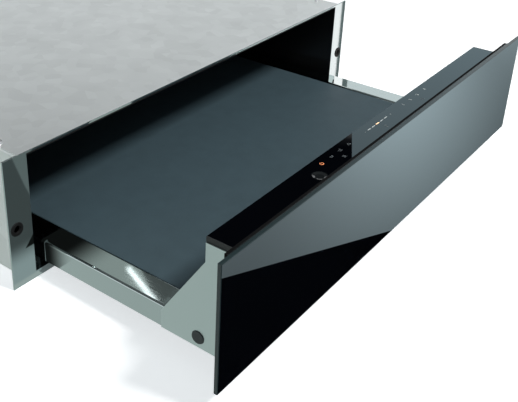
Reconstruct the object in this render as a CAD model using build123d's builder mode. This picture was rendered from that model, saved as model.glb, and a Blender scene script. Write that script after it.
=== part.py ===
from build123d import *
import os
from math import cos, radians, sin, sqrt

# Built-in warming drawer, pulled part-way out of its housing.
# +X is right, +Y runs back into the kitchen unit, +Z is up.
# Y = 0 is the front of the unit, where the frame's flanges seat; Z = 0 is the shelf it stands on.

# ------------------------------------------------------------------ driving dimensions, mm
# Front frame
frame_width = 591.0
frame_height = 135.5
frame_gauge = 0.75
flange_width = 27.0
hem_width = 16.5
foot_height = 1.5
top_bar = 2.0
sill_height = 7.5
sill_depth = 18.0
edge_break = 0.3
opening_seal_height = 1.5
fixing_inset = 9.5
fixing_height = 63.0
grommet_bore_radius = 3.5
grommet_neck_radius = 5.4
grommet_head_radius = 7.0
grommet_head_height = 0.9

# Casing behind the frame
casing_inset = 17.5
casing_depth = 538.0
casing_gauge = 1.0
casing_drop = 0.5
base_lip = 12.0
top_flange = 11.0
liner_gauge = 0.8
liner_side_gap = 0.5
liner_ceiling_drop = 3.5
foot_radius = 9.0
foot_inset = 30.0
screw_head_radius = 3.5
screw_head_height = 1.8
screw_shank_radius = 1.6
screw_shank_length = 5.0
screw_tip = 1.0
screw_taper = 20.0
head_taper = 30.0
back_slot_length = 60.0
back_slot_pitch = 10.0
back_slot_rows = 5
back_slot_height = 3.5
fold_radius = 1.2

# Rear compartment: baffle, fan and ring heater
baffle_setback = 68.0
fan_height = 68.0
fan_gap = 3.0
fan_radius = 38.0
fan_blade_count = 14
fan_blade_length = 14.0
fan_blade_depth = 14.0
fan_blade_sweep = 13.0
fan_blade_bow = 2.6
blade_gauge = 1.2
shaft_radius = 2.0
shaft_play = 0.05
heater_radius = 50.0
heater_tube_radius = 3.2
heater_gap_angle = 40.0
heater_leg = 30.0
motor_width = 58.0
motor_height = 48.0
motor_depth = 18.0
motor_corner = 4.0
motor_window_width = 8.0
motor_window_edge = 8.0
motor_plate_gap = 5.0
motor_plate_margin = 6.0
motor_plate_corner = 5.0
intake_slot = 3.5
intake_pitch = 7.0
outlet_height = 70.0
outlet_inset = 53.0
intake_rows = 4
probe_x = -110.0
cutout_x = 110.0
probe_drop = 23.5
probe_radius = 2.5
probe_reach = 14.0
probe_head_radius = 5.5
probe_head_depth = 4.0
cutout_radius = 9.0
cutout_depth = 8.0
cutout_tab_spacing = 8.0
cutout_tab = (1.0, 6.0, 7.0)
heater_stud_radius = 1.5
fan_hub_radius = 7.0
motor_post_x = 60.0
motor_post_z = 28.0
motor_post_radius = 3.0
gland_inset = 103.0
gland_z = 34.0
gland_neck_radius = 8.0
gland_bore_radius = 4.3
gland_reach = 8.0
gland_nut = 6.0
gland_collar = 2.0
gland_nut_margin = 3.0
terminal_setback = 33.0
terminal_size = (46.0, 20.0, 16.0)
terminal_pitch = (14.0, 10.0)
terminal_hole_radius = 2.6
terminal_hole_depth = 9.0
board_tray_size = (125.0, 54.0)
board_tray_inset = 38.0
board_tray_setback = 8.0
board_tray_height = 12.0
board_tray_wall = 2.0
transformer_size = (32.0, 28.0, 24.0)
transformer_place = (28.0, 25.0)
relay_size = (18.0, 14.0, 15.0)
relay_places = ((62.0, 18.0), (62.0, 36.0))
capacitor_radius = 8.0
capacitor_height = 18.0
capacitor_place = (90.0, 24.0)

# Telescopic runners
runner_thickness = 12.7
runner_half_height = 9.0
runner_gauge = 1.0
runner_length = 430.0
runner_front = 20.0
cage_length = 150.0
cage_gauge = 0.4
outer_ball_radius = 1.6
inner_ball_radius = 1.3
outer_ball_reach = 5.0
inner_ball_reach = 8.7
outer_ball_gap = 2.4
inner_ball_gap = 1.9
runner_bend = 0.5
runner_hole_radius = 2.2
runner_hole_ends = 40.0
access_hole_radius = 2.8
flange_past_balls = 3.2
support_gauge = 1.5
support_foot = 17.0

# Drawer
tray_length = 464.0
side_gap = 7.2
side_gauge = 1.2
rim_width = 27.3
rim_height = 39.5
side_bottom = 17.5
front_rail_width = 14.0
floor_drop = 3.2
floor_gauge = 1.0
floor_edge = 11.0
mat_gauge = 2.0
mat_clearance = 0.4
mat_corner = 3.0

# Front panel, carrier and seal
panel_overhang = 2.0
panel_height = 120.5
panel_lift = 20.5
glass_gauge = 4.0
glass_edge_break = 0.5
carrier_inset = 18.5
carrier_drop = 5.0
carrier_raise = 4.0
carrier_gauge = 1.2
carrier_rim = 8.0
carrier_depth = 4.5
seal_gauge = 3.0
seal_width = 8.5
seal_drop = 0.5
seal_top_width = 6.5
carrier_screw_heights = (55.0, 105.0)
pulled_out = 237.0
closed_gap = 0.3

# Control ledge and brackets
ledge_overhang = 0.2
ledge_top = 128.1
ledge_rear_reach = 33.0
control_glass_gauge = 2.6
ledge_body_gauge = 2.4
ledge_cap_gauge = 1.0
lens_radius = 7.3
lens_rim = 0.7
lens_dish = 0.9
lens_dish_taper = 70.0
lens_x = -126.8
lens_setback = 14.5
board_gauge = 1.6
board_half = 150.0
board_front_gap = 5.0
board_rear_gap = 8.0
cover_height = 9.0
cover_margin = 6.0
cover_shelf = 18.0
cover_rear_gap = 3.0
cover_rear_height = 3.0
cover_wall = 1.2
bracket_gauge = 1.2
bracket_rear = 32.5
bracket_knee_height = 105.0
bracket_foot_reach = 77.8
bracket_foot_height = 35.5
bracket_flange = 12.0
plug_radius = 6.4
plug_stem_radius = 5.0
plug_setback = 38.3
plug_height = 27.9
plug_head_height = 0.9

# Push-to-open unit
latch_face = 350.0
latch_length = 76.0
latch_width = 32.0
latch_height = 14.5
latch_corner = 2.0
latch_ear_reach = 11.0
latch_ear_length = 20.0
latch_ear_gauge = 2.5
latch_screw_radius = 2.2
plunger_radius = 3.5
plunger_head_radius = 5.5
plunger_length = 60.0
striker_width = 20.0
striker_gauge = 2.0
striker_clearance = 8.6
plunger_head_gauge = 3.0
switch_x = 80.0
switch_y = 60.0
switch_size = (12.0, 34.0, 14.0)
switch_corner = 2.0
magnet_size = (10.0, 20.0, 6.0)

# Clearances between pieces
slip = 0.3
fit = 0.1

# ------------------------------------------------------------------ places worked out from them
frame_half = frame_width / 2
frame_front = -2 * frame_gauge
sheet_back = -frame_gauge
opening_half = frame_half - flange_width
opening_top = frame_height - top_bar
casing_half = frame_half - casing_inset
fixing_x = frame_half - fixing_inset
casing_inner_half = casing_half - casing_gauge
casing_top_z = frame_height - casing_drop
casing_inner_top = casing_top_z - casing_gauge
base_bottom = foot_height
base_top = base_bottom + casing_gauge
casing_inner_rear = casing_depth - casing_gauge
liner_half = opening_half + liner_side_gap
liner_ceiling = frame_height - liner_ceiling_drop
baffle_depth = casing_depth - baffle_setback
baffle_rear = baffle_depth + casing_gauge
probe_height = frame_height - probe_drop
gland_x = casing_half - gland_inset
terminal_y = casing_depth - terminal_setback
outlet_x = casing_half - outlet_inset
board_tray_left = -casing_half + board_tray_inset
board_tray_rear = casing_depth - board_tray_setback
board_tray_front = board_tray_rear - board_tray_size[1]

panel_half = frame_half + panel_overhang
side_outer_half = opening_half - side_gap
ledge_half = side_outer_half + ledge_overhang
panel_top = panel_lift + panel_height
panel_front = frame_front - pulled_out
glass_back = panel_front + glass_gauge
carrier_back = glass_back + carrier_depth
seal_back = carrier_back + seal_gauge
carrier_half = panel_half - carrier_inset
carrier_top = panel_top - carrier_drop
carrier_bottom = panel_lift + carrier_raise
travel_to_close = frame_front - seal_back - closed_gap

tray_rear = carrier_back + tray_length
side_inner_half = side_outer_half - rim_width
floor_top = rim_height - floor_drop
runner_face = side_outer_half - side_gauge - runner_thickness
runner_centre = (side_bottom + rim_height - side_gauge) / 2
ledge_rear = carrier_back + ledge_rear_reach
control_glass_bottom = ledge_top - control_glass_gauge
ledge_bottom = control_glass_bottom - ledge_body_gauge
board_bottom = ledge_bottom - board_gauge
fan_front = baffle_rear + fan_gap
fan_plate_y = fan_front + fan_blade_length
heater_y = fan_front + fan_blade_length / 2
motor_plate_y = fan_plate_y + motor_plate_gap
carrier_screw_places = [
    (side * (side_outer_half - bracket_flange / 2), height)
    for side in (-1, 1)
    for height in carrier_screw_heights
]


def at_depth(y):
    """Plane square to the drawer's travel, with X across and Z up; it extrudes forward, to -Y."""
    return Plane.XZ.offset(-y)


def at_side(x):
    """Upright plane along the travel, with Y across and Z up; it extrudes to +X."""
    return Plane.YZ.offset(x)


def at_height(z):
    """Level plane, with X across and Y up the page; it extrudes up."""
    return Plane.XY.offset(z)


def area(low, high, mode=Mode.ADD):
    """A rectangle between two corners of the open sketch."""
    centre = ((low[0] + high[0]) / 2, (low[1] + high[1]) / 2)
    with Locations(centre):
        Rectangle(high[0] - low[0], high[1] - low[1], mode=mode)


def folded(points, gauge, side, bend=fold_radius):
    """The section of a folded sheet: its path, rounded at each bend, thickened to one side."""
    with BuildLine() as path:
        FilletPolyline(*points, radius=gauge + bend)
        offset(amount=gauge, side=side)
    make_face(path.edges())


# ------------------------------------------------------------------ front frame
fixing_holes = [(-fixing_x, fixing_height), (fixing_x, fixing_height)]

with BuildPart() as front_frame:
    with BuildSketch(at_depth(sheet_back)):
        area((-frame_half, 0), (frame_half, frame_height))
        area((-opening_half, sill_height), (opening_half, opening_top), Mode.SUBTRACT)
    extrude(amount=frame_gauge)
    face_edges = front_frame.faces().sort_by(Axis.Y)[0].outer_wire().edges()
    chamfer(face_edges, edge_break)
    with BuildSketch(at_depth(0)):
        area((-frame_half, 0), (-frame_half + hem_width, frame_height))
        area((frame_half - hem_width, 0), (frame_half, frame_height))
    extrude(amount=frame_gauge)
    with BuildSketch(at_depth(0)):
        with Locations(*fixing_holes):
            Circle(grommet_neck_radius + fit)
    extrude(amount=2 * frame_gauge, mode=Mode.SUBTRACT)
    with BuildSketch(at_depth(sill_depth)):
        area((-opening_half, sill_height - frame_gauge), (opening_half, sill_height))
        area((-casing_half, 0), (casing_half, frame_gauge))
    extrude(amount=sill_depth - sheet_back)

with BuildPart() as opening_seal:
    with BuildSketch(at_depth(sheet_back)):
        area((-opening_half, opening_top - opening_seal_height), (opening_half, opening_top))
    extrude(amount=frame_gauge)

with BuildPart() as frame_grommets:
    for hole_x, hole_z in fixing_holes:
        with BuildSketch(at_depth(0)):
            with Locations((hole_x, hole_z)):
                Circle(grommet_neck_radius)
                Circle(grommet_bore_radius, mode=Mode.SUBTRACT)
        extrude(amount=2 * frame_gauge)
        with BuildSketch(at_depth(frame_front)):
            with Locations((hole_x, hole_z)):
                Circle(grommet_head_radius)
                Circle(grommet_bore_radius, mode=Mode.SUBTRACT)
        extrude(amount=grommet_head_height, taper=head_taper)

# ------------------------------------------------------------------ casing
screw_x = casing_half - top_flange / 2
screw_rows = 3
screw_pitch = (casing_depth - 2 * foot_inset) / (screw_rows - 1)

with BuildPart() as casing_base:
    with BuildSketch(at_depth(casing_inner_rear)):
        lip_top = base_bottom + base_lip
        folded(
            [
                (-casing_inner_half, lip_top),
                (-casing_inner_half, base_bottom),
                (casing_inner_half, base_bottom),
                (casing_inner_half, lip_top),
            ],
            casing_gauge,
            Side.LEFT,
        )
    extrude(amount=casing_inner_rear - sheet_back)

with BuildPart() as casing_side_right:
    with BuildSketch(at_depth(casing_inner_rear)):
        folded(
            [
                (casing_half, base_bottom),
                (casing_half, casing_inner_top),
                (casing_half - top_flange, casing_inner_top),
            ],
            casing_gauge,
            Side.LEFT,
        )
    extrude(amount=casing_inner_rear - sheet_back)
    with BuildSketch(at_height(casing_inner_top)):
        with Locations((screw_x, casing_depth / 2)):
            with GridLocations(screw_pitch, screw_pitch, 1, screw_rows):
                Circle(screw_shank_radius + fit)
    extrude(amount=-casing_gauge, mode=Mode.SUBTRACT)

with BuildPart() as casing_side_left:
    mirror(casing_side_right.part, about=Plane.YZ)

with BuildPart() as casing_top:
    with BuildSketch(at_height(casing_inner_top)):
        area((-casing_half, sheet_back), (casing_half, casing_depth))
        with Locations((0, casing_depth / 2)):
            with GridLocations(2 * screw_x, screw_pitch, 2, screw_rows):
                Circle(screw_shank_radius + fit, mode=Mode.SUBTRACT)
    extrude(amount=casing_gauge)

with BuildPart() as casing_screws:
    with BuildSketch(at_height(casing_top_z)):
        with Locations((0, casing_depth / 2)):
            with GridLocations(2 * screw_x, screw_pitch, 2, screw_rows):
                Circle(screw_head_radius)
    extrude(amount=screw_head_height, taper=screw_taper)
    with BuildSketch(at_height(casing_top_z)):
        with Locations((0, casing_depth / 2)):
            with GridLocations(2 * screw_x, screw_pitch, 2, screw_rows):
                Circle(screw_shank_radius)
    extrude(amount=-screw_shank_length)

with BuildPart() as casing_back:
    with BuildSketch(at_depth(casing_depth)):
        area((-casing_half, base_bottom), (casing_half, casing_inner_top))
        with Locations((0, fan_height)):
            with GridLocations(back_slot_length + back_slot_pitch, back_slot_pitch, 2, back_slot_rows):
                SlotOverall(back_slot_length, back_slot_height, mode=Mode.SUBTRACT)
        with Locations((gland_x, gland_z)):
            Circle(gland_neck_radius + fit, mode=Mode.SUBTRACT)
    extrude(amount=casing_gauge)

with BuildPart() as rubber_feet:
    with BuildSketch(at_height(0)):
        with Locations((0, casing_depth / 2)):
            foot_x = 2 * (casing_half - foot_inset)
            foot_y = casing_depth - 2 * foot_inset
            with GridLocations(foot_x, foot_y, 2, 2):
                Circle(foot_radius)
    extrude(amount=base_bottom)

with BuildPart() as cavity_liner:
    with BuildSketch(at_depth(baffle_depth)):
        folded(
            [
                (-liner_half, base_top),
                (-liner_half, liner_ceiling),
                (liner_half, liner_ceiling),
                (liner_half, base_top),
            ],
            liner_gauge,
            Side.LEFT,
        )
    extrude(amount=baffle_depth - sheet_back)

with BuildPart() as insulation_pads:
    pad_inner = liner_half + liner_gauge + slip
    pad_outer = casing_inner_half - slip
    pad_bottom = base_bottom + base_lip + slip
    side_pad_top = casing_top_z - screw_shank_length - slip
    pad_top = liner_ceiling + liner_gauge
    top_pad_half = casing_half - top_flange - slip
    with BuildSketch(at_depth(baffle_depth - slip)):
        area((pad_inner, pad_bottom), (pad_outer, side_pad_top))
        area((-pad_outer, pad_bottom), (-pad_inner, side_pad_top))
        area((-top_pad_half, pad_top), (top_pad_half, casing_inner_top))
    extrude(amount=baffle_depth - 2 * slip)

# ------------------------------------------------------------------ rear compartment
baffle_half = liner_half + liner_gauge
stud_angles = [90, 210, 330]
post_places = [
    (sign_x * motor_post_x, fan_height + sign_z * motor_post_z) for sign_x in (-1, 1) for sign_z in (-1, 1)
]

with BuildPart() as rear_baffle:
    with BuildSketch(at_depth(baffle_rear)):
        area((-baffle_half, base_top), (baffle_half, liner_ceiling + liner_gauge))
        for row in range(-intake_rows, intake_rows + 1):
            rise = row * intake_pitch
            with Locations((0, fan_height + rise)):
                SlotOverall(2 * sqrt(fan_radius**2 - rise**2), intake_slot, mode=Mode.SUBTRACT)
        for side in (-1, 1):
            with Locations((side * outlet_x, fan_height)):
                with GridLocations(2 * intake_pitch, outlet_height, 3, 1):
                    SlotOverall(outlet_height, intake_slot, rotation=90, mode=Mode.SUBTRACT)
        with Locations((probe_x, probe_height)):
            Circle(probe_radius + fit, mode=Mode.SUBTRACT)
    extrude(amount=casing_gauge)
    stud_length = heater_y - heater_tube_radius - baffle_rear - fit
    with BuildSketch(at_depth(baffle_rear)):
        for angle in stud_angles:
            with Locations(
                (heater_radius * cos(radians(angle)), fan_height + heater_radius * sin(radians(angle)))
            ):
                Circle(heater_stud_radius)
    extrude(amount=-stud_length)

with BuildPart() as heater_element:
    gap_turn = heater_gap_angle / 2
    gap_x = heater_radius * sin(radians(gap_turn))
    gap_z = fan_height - heater_radius * cos(radians(gap_turn))
    heater_axis = Axis((0, heater_y, fan_height), (0, 1, 0))
    outward = Vector(0, 0, -1).rotate(Axis.Y, gap_turn)
    along = Vector(1, 0, 0).rotate(Axis.Y, gap_turn)
    with BuildSketch(Plane(origin=(-gap_x, heater_y, gap_z), x_dir=outward, z_dir=along)):
        Circle(heater_tube_radius)
    revolve(axis=heater_axis, revolution_arc=360 - heater_gap_angle)
    with Locations((-gap_x, heater_y, gap_z), (gap_x, heater_y, gap_z)):
        Sphere(heater_tube_radius)
    with BuildSketch(at_depth(heater_y)):
        with Locations((-gap_x, gap_z), (gap_x, gap_z)):
            Circle(heater_tube_radius)
    extrude(amount=-heater_leg)

blade_outer = fan_radius - blade_gauge
blade_inner = blade_outer - fan_blade_depth
blade_foot = Vector(blade_inner, 0)
blade_tip = Vector(blade_outer, 0).rotate(Axis.Z, fan_blade_sweep)
blade_middle = (blade_foot + blade_tip) / 2 + Vector(fan_blade_bow, -fan_blade_bow)

with BuildSketch() as fan_blade:
    with BuildLine():
        ThreePointArc(blade_foot, blade_middle, blade_tip)
        offset(amount=blade_gauge, side=Side.LEFT)
    make_face()

with BuildPart() as fan_wheel:
    with BuildSketch(at_depth(fan_plate_y + blade_gauge)):
        with Locations((0, fan_height)):
            Circle(fan_radius)
            Circle(shaft_radius + shaft_play, mode=Mode.SUBTRACT)
    extrude(amount=blade_gauge)
    with BuildSketch(at_depth(fan_plate_y)):
        with Locations((0, fan_height)):
            with PolarLocations(0, fan_blade_count):
                add(fan_blade.sketch)
            Circle(fan_hub_radius)
            Circle(shaft_radius + shaft_play, mode=Mode.SUBTRACT)
    extrude(amount=fan_blade_length)

with BuildPart() as fan_shaft:
    with BuildSketch(at_depth(motor_plate_y + casing_gauge + motor_depth - fit)):
        with Locations((0, fan_height)):
            Circle(shaft_radius)
    extrude(amount=motor_plate_y + casing_gauge + motor_depth - fit - fan_front)

with BuildPart() as motor_plate:
    with BuildSketch(at_depth(motor_plate_y + casing_gauge)):
        with Locations((0, fan_height)):
            RectangleRounded(
                2 * (motor_post_x + motor_plate_margin),
                2 * (motor_post_z + motor_plate_margin),
                motor_plate_corner,
            )
            Circle(fan_hub_radius, mode=Mode.SUBTRACT)
    extrude(amount=casing_gauge)
    with BuildSketch(at_depth(motor_plate_y)):
        with Locations(*post_places):
            Circle(motor_post_radius)
    extrude(amount=motor_plate_y - baffle_rear)

with BuildPart() as fan_motor:
    with BuildSketch(at_depth(motor_plate_y + casing_gauge + motor_depth)):
        with Locations((0, fan_height)):
            RectangleRounded(motor_width, motor_height, motor_corner)
            with Locations((motor_width / 2 - motor_window_edge - motor_window_width / 2, 0)):
                Rectangle(motor_window_width, motor_height - 2 * motor_window_edge, mode=Mode.SUBTRACT)
            Circle(shaft_radius + shaft_play, mode=Mode.SUBTRACT)
    extrude(amount=motor_depth)

with BuildPart() as safety_cutout:
    with BuildSketch(at_depth(baffle_rear)):
        with Locations((cutout_x, probe_height)):
            Circle(cutout_radius)
    extrude(amount=-cutout_depth)
    with BuildSketch(at_depth(baffle_rear + cutout_depth)):
        with Locations((cutout_x, probe_height)):
            with GridLocations(cutout_tab_spacing, 0, 2, 1):
                Rectangle(cutout_tab[0], cutout_tab[1])
    extrude(amount=-cutout_tab[2])

with BuildPart() as temperature_probe:
    with BuildSketch(at_depth(baffle_rear)):
        with Locations((probe_x, probe_height)):
            Circle(probe_radius)
    extrude(amount=casing_gauge + probe_reach)
    with BuildSketch(at_depth(baffle_rear)):
        with Locations((probe_x, probe_height)):
            RegularPolygon(probe_head_radius, 6)
    extrude(amount=-probe_head_depth)

with BuildPart() as board_tray:
    with BuildSketch(at_height(base_top)):
        area(
            (board_tray_left, board_tray_front),
            (board_tray_left + board_tray_size[0], board_tray_rear),
        )
    extrude(amount=board_tray_height)
    inside_top = board_tray.faces().sort_by(Axis.Z)[-1]
    offset(amount=-board_tray_wall, openings=inside_top)

with BuildPart() as power_board:
    board_inset = board_tray_wall + slip
    board_low = (board_tray_left + board_inset, board_tray_front + board_inset)
    board_high = (board_tray_left + board_tray_size[0] - board_inset, board_tray_rear - board_inset)
    board_z = base_top + board_tray_wall
    with BuildSketch(at_height(board_z)):
        area(board_low, board_high)
    extrude(amount=board_gauge)
    with BuildSketch(at_height(board_z + board_gauge)):
        with Locations((board_tray_left + transformer_place[0], board_tray_front + transformer_place[1])):
            Rectangle(transformer_size[0], transformer_size[1])
    extrude(amount=transformer_size[2])
    with BuildSketch(at_height(board_z + board_gauge)):
        with Locations(*[(board_tray_left + x, board_tray_front + y) for x, y in relay_places]):
            Rectangle(relay_size[0], relay_size[1])
    extrude(amount=relay_size[2])
    with BuildSketch(at_height(board_z + board_gauge)):
        with Locations((board_tray_left + capacitor_place[0], board_tray_front + capacitor_place[1])):
            Circle(capacitor_radius)
    extrude(amount=capacitor_height)

with BuildPart() as terminal_block:
    with BuildSketch(at_height(base_top)):
        with Locations((gland_x, terminal_y)):
            Rectangle(terminal_size[0], terminal_size[1])
    extrude(amount=terminal_size[2])
    with BuildSketch(at_height(base_top + terminal_size[2])):
        with Locations((gland_x, terminal_y)):
            with GridLocations(terminal_pitch[0], terminal_pitch[1], 3, 2):
                Circle(terminal_hole_radius)
    extrude(amount=-terminal_hole_depth, mode=Mode.SUBTRACT)

with BuildPart() as mains_gland:
    with BuildSketch(at_depth(casing_depth + gland_reach)):
        with Locations((gland_x, gland_z)):
            Circle(gland_neck_radius + gland_collar)
    extrude(amount=gland_reach)
    with BuildSketch(at_depth(casing_depth)):
        with Locations((gland_x, gland_z)):
            Circle(gland_neck_radius)
    extrude(amount=casing_gauge)
    with BuildSketch(at_depth(casing_inner_rear)):
        with Locations((gland_x, gland_z)):
            RegularPolygon(gland_neck_radius + gland_nut_margin, 6)
    extrude(amount=gland_nut)
    with BuildSketch(at_depth(casing_depth + gland_reach)):
        with Locations((gland_x, gland_z)):
            Circle(gland_bore_radius)
    extrude(amount=gland_reach + casing_gauge + gland_nut, mode=Mode.SUBTRACT)

# ------------------------------------------------------------------ telescopic runners, right side
outer_inside = runner_half_height - runner_gauge
middle_outside = outer_inside - outer_ball_gap
middle_inside = middle_outside - runner_gauge
inner_outside = middle_inside - inner_ball_gap
outer_ball_height = outer_inside - outer_ball_gap / 2
inner_ball_height = middle_inside - inner_ball_gap / 2
outer_ball_x = runner_face + outer_ball_reach
inner_ball_x = runner_face + inner_ball_reach
cage_play = 0.3
outer_cage_web = runner_face + runner_gauge + cage_play
middle_web = outer_cage_web + cage_gauge + cage_play
inner_cage_web = middle_web + runner_gauge + cage_play
inner_flange_start = inner_cage_web + cage_gauge + cage_play
runner_end = runner_face + runner_thickness
outer_tip = outer_ball_x + flange_past_balls
cage_start_closed = runner_front + runner_length / 2 - cage_length / 2
middle_front = runner_front - travel_to_close / 2
drawer_runner_front = runner_front - travel_to_close


def channel(web, tip, half_height, gauge):
    """A folded channel section, open from its web towards its tip, centred on the runner's height."""
    inward = Side.RIGHT if tip > web else Side.LEFT
    folded(
        [
            (tip, runner_centre - half_height),
            (web, runner_centre - half_height),
            (web, runner_centre + half_height),
            (tip, runner_centre + half_height),
        ],
        gauge,
        inward,
        runner_bend,
    )


def races(ball_x, ball_height, radius):
    """Cut the two grooves that a runner's rows of balls roll in."""
    with Locations((ball_x, runner_centre - ball_height), (ball_x, runner_centre + ball_height)):
        Circle(radius, mode=Mode.SUBTRACT)


def beads(ball_x, ball_height, radius, low, high):
    """Bulge both flanges round the balls, where the circle lies from low to high off the centre line."""
    for side in (-1, 1):
        with BuildSketch(mode=Mode.PRIVATE) as bulge:
            with Locations((ball_x, runner_centre + side * ball_height)):
                Circle(radius)
            with Locations((ball_x, runner_centre + side * (low + high) / 2)):
                Rectangle(2 * radius, high - low, mode=Mode.INTERSECT)
        add(bulge.sketch)


outer_race = outer_ball_radius + fit
inner_race = inner_ball_radius + fit
outer_bead = outer_race + runner_gauge
inner_bead = inner_race + runner_gauge
middle_tip = inner_ball_x + inner_bead


def web_holes(web, gauge, front, radius):
    """Round holes through a web: one near each end of a runner member and one midway."""
    with BuildSketch(at_side(web)) as holes:
        for along in (runner_hole_ends, runner_length / 2, runner_length - runner_hole_ends):
            with Locations((front + along, runner_centre)):
                Circle(radius)
    extrude(holes.sketch, amount=gauge, mode=Mode.SUBTRACT)


with BuildPart() as runner_support_right:
    with BuildSketch(at_depth(runner_front + runner_length)):
        folded(
            [
                (runner_face - support_gauge, runner_centre + runner_half_height),
                (runner_face - support_gauge, base_top),
                (runner_face - support_gauge + support_foot, base_top),
            ],
            support_gauge,
            Side.LEFT,
        )
    extrude(amount=runner_length)
    web_holes(runner_face - support_gauge, support_gauge, runner_front, runner_hole_radius)

# Each member is a channel whose flanges bulge round the balls, so both sides of a row have a groove.
with BuildPart() as fixed_runner_right:
    with BuildSketch(at_depth(runner_front + runner_length)):
        channel(runner_face, outer_tip, runner_half_height, runner_gauge)
        beads(
            outer_ball_x,
            outer_ball_height,
            outer_bead,
            runner_half_height,
            outer_ball_height + outer_bead,
        )
        races(outer_ball_x, outer_ball_height, outer_race)
    extrude(amount=runner_length)
    web_holes(runner_face, runner_gauge, runner_front, runner_hole_radius)

with BuildPart() as middle_runner_right:
    with BuildSketch(at_depth(middle_front + runner_length)):
        channel(middle_web, middle_tip, middle_outside, runner_gauge)
        beads(
            outer_ball_x,
            outer_ball_height,
            outer_bead,
            outer_ball_height - outer_bead,
            middle_inside,
        )
        beads(
            inner_ball_x,
            inner_ball_height,
            inner_bead,
            middle_outside,
            inner_ball_height + inner_bead,
        )
        races(outer_ball_x, outer_ball_height, outer_race)
        races(inner_ball_x, inner_ball_height, inner_race)
    extrude(amount=runner_length)
    web_holes(middle_web, runner_gauge, middle_front, access_hole_radius)

with BuildPart() as drawer_runner_right:
    with BuildSketch(at_depth(drawer_runner_front + runner_length)):
        channel(runner_end, inner_flange_start, inner_outside, runner_gauge)
        beads(
            inner_ball_x,
            inner_ball_height,
            inner_bead,
            inner_ball_height - inner_bead,
            inner_outside - runner_gauge,
        )
        races(inner_ball_x, inner_ball_height, inner_race)
    extrude(amount=runner_length)


def ball_cage(web, tip, ball_x, ball_radius, ball_height, front):
    """Folded strip between two runner members, with balls standing out of both its flanges."""
    with BuildSketch(at_depth(front + cage_length)) as strip:
        channel(web, tip, ball_height + cage_gauge / 2, cage_gauge)
    extrude(strip.sketch, amount=cage_length)
    ball_ends = cage_length / 2 - 3 * ball_radius
    places = [
        (ball_x, front + cage_length / 2 + along * ball_ends, runner_centre + side * ball_height)
        for along in (-1, 1)
        for side in (-1, 1)
    ]
    with Locations(*places):
        Sphere(ball_radius)


outer_cage_front = cage_start_closed - travel_to_close / 4
inner_cage_front = cage_start_closed - travel_to_close * 3 / 4

with BuildPart() as outer_cage_right:
    ball_cage(
        outer_cage_web,
        outer_tip,
        outer_ball_x,
        outer_ball_radius,
        outer_ball_height,
        outer_cage_front,
    )

with BuildPart() as inner_cage_right:
    ball_cage(
        inner_cage_web,
        inner_ball_x + inner_ball_radius + cage_gauge,
        inner_ball_x,
        inner_ball_radius,
        inner_ball_height,
        inner_cage_front,
    )

# ------------------------------------------------------------------ drawer
with BuildPart() as drawer_side_right:
    with BuildSketch(at_depth(tray_rear)):
        folded(
            [
                (side_inner_half, side_bottom),
                (side_inner_half, rim_height),
                (side_outer_half, rim_height),
                (side_outer_half, side_bottom),
            ],
            side_gauge,
            Side.RIGHT,
        )
    extrude(amount=tray_length)


def cross_rail(front, width):
    """A drawer rail across the tray between the two sides: the same folded section, turned."""
    with BuildSketch(at_side(-side_inner_half)) as section:
        folded(
            [
                (front, side_bottom),
                (front, rim_height),
                (front + width, rim_height),
                (front + width, side_bottom),
            ],
            side_gauge,
            Side.RIGHT,
        )
    extrude(section.sketch, amount=2 * side_inner_half)


with BuildPart() as drawer_rear_rail:
    cross_rail(tray_rear - rim_width, rim_width)

with BuildPart() as drawer_front_rail:
    cross_rail(carrier_back, front_rail_width)

floor_front = carrier_back + front_rail_width
floor_rear = tray_rear - rim_width

with BuildPart() as drawer_floor:
    with BuildSketch(at_depth(floor_rear)):
        folded(
            [
                (-side_inner_half, floor_top - floor_edge),
                (-side_inner_half, floor_top),
                (side_inner_half, floor_top),
                (side_inner_half, floor_top - floor_edge),
            ],
            floor_gauge,
            Side.RIGHT,
        )
    extrude(amount=floor_rear - floor_front)

with BuildPart() as anti_slip_mat:
    with BuildSketch(at_height(floor_top)):
        with Locations((0, (floor_front + floor_rear) / 2)):
            RectangleRounded(
                2 * (side_inner_half - mat_clearance),
                floor_rear - floor_front - 2 * mat_clearance,
                mat_corner,
            )
    extrude(amount=mat_gauge)

# ------------------------------------------------------------------ front panel
with BuildPart() as front_glass:
    with BuildSketch(at_depth(glass_back)):
        area((-panel_half, panel_lift), (panel_half, panel_top))
    extrude(amount=glass_gauge)
    chamfer(front_glass.edges().filter_by(Axis.Y, reverse=True), glass_edge_break)

with BuildPart() as front_carrier:
    with BuildSketch(at_depth(carrier_back)):
        area((-carrier_half, carrier_bottom), (carrier_half, carrier_top))
    extrude(amount=carrier_depth)
    with BuildSketch(at_depth(carrier_back - carrier_gauge)):
        area(
            (-carrier_half + carrier_rim, carrier_bottom + carrier_rim),
            (carrier_half - carrier_rim, carrier_top - carrier_rim),
        )
    extrude(amount=carrier_depth - carrier_gauge, mode=Mode.SUBTRACT)
    with BuildSketch(at_depth(carrier_back)):
        with Locations(*carrier_screw_places):
            Circle(screw_shank_radius + fit)
    extrude(amount=carrier_gauge, mode=Mode.SUBTRACT)

with BuildPart() as front_seal:
    with BuildSketch(at_depth(seal_back)):
        area((-carrier_half, carrier_bottom), (carrier_half, carrier_top - seal_drop))
        area(
            (-carrier_half + seal_width, carrier_bottom),
            (carrier_half - seal_width, carrier_top - seal_drop - seal_top_width),
            Mode.SUBTRACT,
        )
    extrude(amount=seal_gauge)

# ------------------------------------------------------------------ side brackets
bracket_outer = side_outer_half + bracket_gauge

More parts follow.
